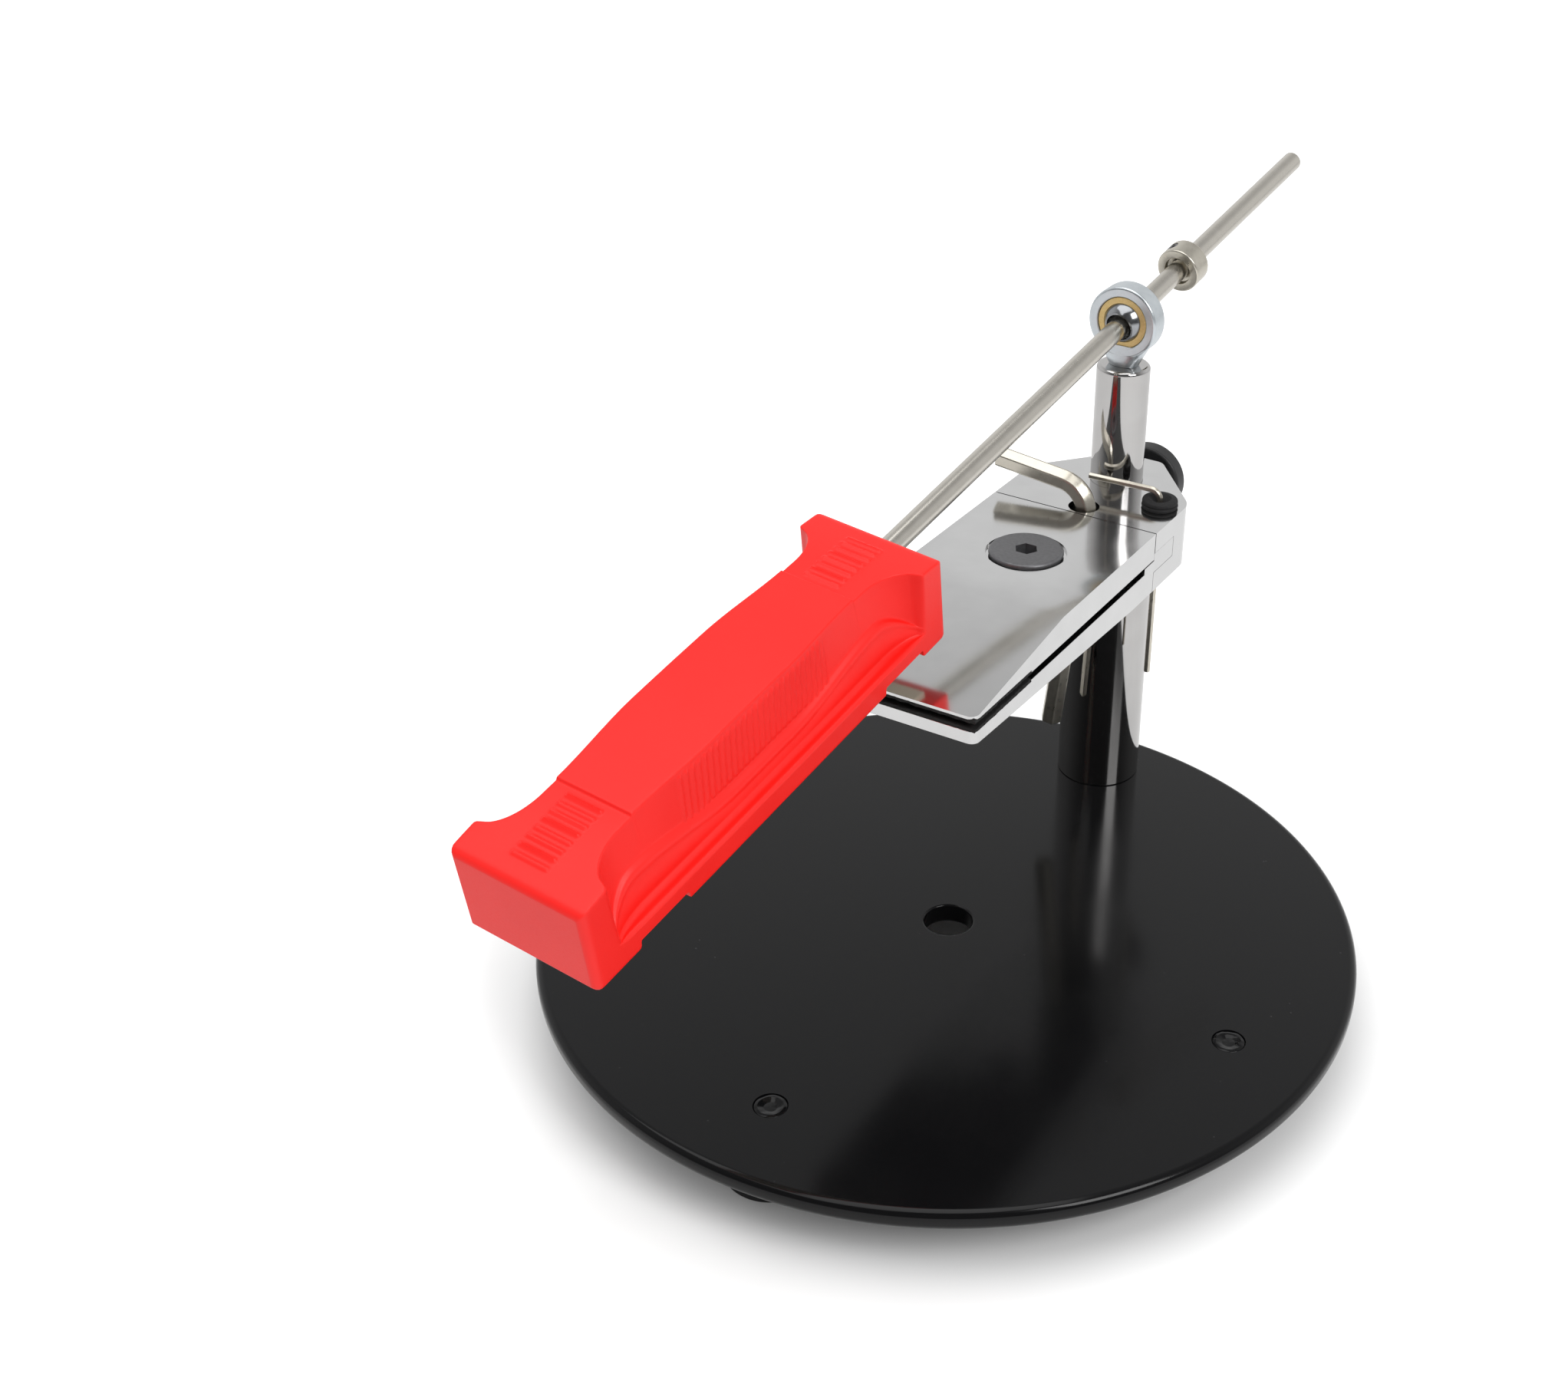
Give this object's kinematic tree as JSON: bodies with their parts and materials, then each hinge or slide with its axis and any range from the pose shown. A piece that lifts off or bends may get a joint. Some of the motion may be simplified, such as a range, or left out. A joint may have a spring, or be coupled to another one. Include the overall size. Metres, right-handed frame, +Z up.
{
  "type": "honing guide",
  "caption": "Clamp-type honing guide: round base with a post, screw-closed blade jaws, and a stone holder on a rod that slides through a height-adjustable ball joint.",
  "frame": {"origin": "centre of the base plate's hole, at the plate's top face", "axes": "+Z up; the post stands at +Y and the clamp jaws reach from it towards -Y"},
  "size_m": [0.2, 0.3061, 0.1695],
  "materials": {
    "black_enamel": "gloss black enamel",
    "black_rubber": "matt moulded rubber",
    "pad_rubber": "scuffed rubber sheet",
    "chrome_plate": "polished chrome plate",
    "chrome_clamp": "polished chrome plate, ground flat",
    "zinc_plate": "bright zinc plate",
    "black_oxide": "black oxide steel",
    "ball_steel": "polished bearing steel",
    "brass_race": "turned brass",
    "satin_stainless": "satin stainless",
    "nickel_plate": "satin nickel plate",
    "red_plastic": "satin moulded plastic",
    "pale_stone": "fine-grit abrasive stone",
    "black_plastic": "satin moulded plastic"
  },
  "bodies": {
    "base": {"base_plate": "black_enamel", "foot_front": "black_rubber", "foot_left": "black_rubber", "foot_right": "black_rubber", "foot_rear": "black_rubber", "foot_rivets": "black_oxide", "foot_washers": "zinc_plate", "post_screw": "zinc_plate", "post_washer": "zinc_plate", "post": "chrome_plate", "rear_block": "chrome_clamp", "lower_jaw": "chrome_clamp", "lower_pad": "pad_rubber", "jaw_fulcrum_pin": "zinc_plate", "key_grommet": "black_rubber"},
    "upper_jaw": {"upper_jaw": "chrome_clamp", "upper_pad": "pad_rubber"},
    "clamp_screw": {"clamp_screw": "black_oxide"},
    "angle_rod": {"angle_rod": "chrome_plate"},
    "lock_knob": {"lock_knob": "black_plastic", "lock_knob_stud": "zinc_plate"},
    "rod_end": {"rod_end_housing": "zinc_plate", "rod_end_race": "brass_race"},
    "rod_end_ball": {"rod_end_ball": "ball_steel"},
    "guide_rod": {"guide_rod": "satin_stainless"},
    "stop_collar": {"stop_collar": "nickel_plate"},
    "collar_set_screw": {"collar_set_screw": "black_oxide"},
    "stone_holder": {"stone_holder": "red_plastic", "abrasive_stone": "pale_stone"},
    "hex_key_large": {"hex_key_large": "nickel_plate"},
    "hex_key_small": {"hex_key_small": "nickel_plate"}
  },
  "joints": [
    {"name": "jaw_rock", "type": "hinge", "parent": "base", "child": "upper_jaw", "pos_m": [0, 0.052, 0.079], "axis": [-1, 0, 0], "range_deg": [-0.8, 1.5]},
    {"name": "clamp_screw_turn", "type": "hinge", "parent": "upper_jaw", "child": "clamp_screw", "pos_m": [0, 0.0338, 0.087], "axis": [0, 0, 1], "range_deg": [-80, 140]},
    {"name": "angle_rod_height", "type": "slide", "parent": "base", "child": "angle_rod", "axis": [0, 0, 1], "range_m": [0, 0.06]},
    {"name": "lock_knob_turn", "type": "hinge", "parent": "base", "child": "lock_knob", "pos_m": [0, 0.1012, 0.0789], "axis": [0, 1, 0], "range_deg": [0, 360]},
    {"name": "rod_end_swivel", "type": "hinge", "parent": "angle_rod", "child": "rod_end", "pos_m": [0, 0.083, 0.1296], "axis": [0, 0, 1], "range_deg": [-40, 40]},
    {"name": "ball_tilt", "type": "hinge", "parent": "rod_end", "child": "rod_end_ball", "pos_m": [0, 0.083, 0.1296], "axis": [-0.9973, 0.0732, 0], "range_deg": [0, 25]},
    {"name": "guide_rod_stroke", "type": "slide", "parent": "rod_end_ball", "child": "guide_rod", "axis": [-0.0716, -0.9748, -0.2113], "range_m": [-0.08, 0.0205]},
    {"name": "stop_collar_shift", "type": "slide", "parent": "guide_rod", "child": "stop_collar", "axis": [-0.0716, -0.9748, -0.2113], "range_m": [-0.055, 0]},
    {"name": "set_screw_turn", "type": "hinge", "parent": "stop_collar", "child": "collar_set_screw", "pos_m": [0.00204, 0.11078, 0.13562], "axis": [-0.5121, -0.1459, 0.8465], "range_deg": [0, 360]},
    {"name": "holder_roll", "type": "hinge", "parent": "guide_rod", "child": "stone_holder", "pos_m": [-0.00752, -0.01935, 0.10741], "axis": [-0.0716, -0.9748, -0.2113], "range_deg": [-15, 15]},
    {"name": "large_key_lift", "type": "slide", "parent": "base", "child": "hex_key_large", "axis": [0.1063, 0, 0.9943], "range_m": [0, 0.025]},
    {"name": "small_key_lift", "type": "slide", "parent": "base", "child": "hex_key_small", "axis": [0, 0, 1], "range_m": [0, 0.025]}
  ],
  "couplings": [
    {"joint": "clamp_screw_turn", "follows": "jaw_rock", "ratio": 91.5}
  ]
}
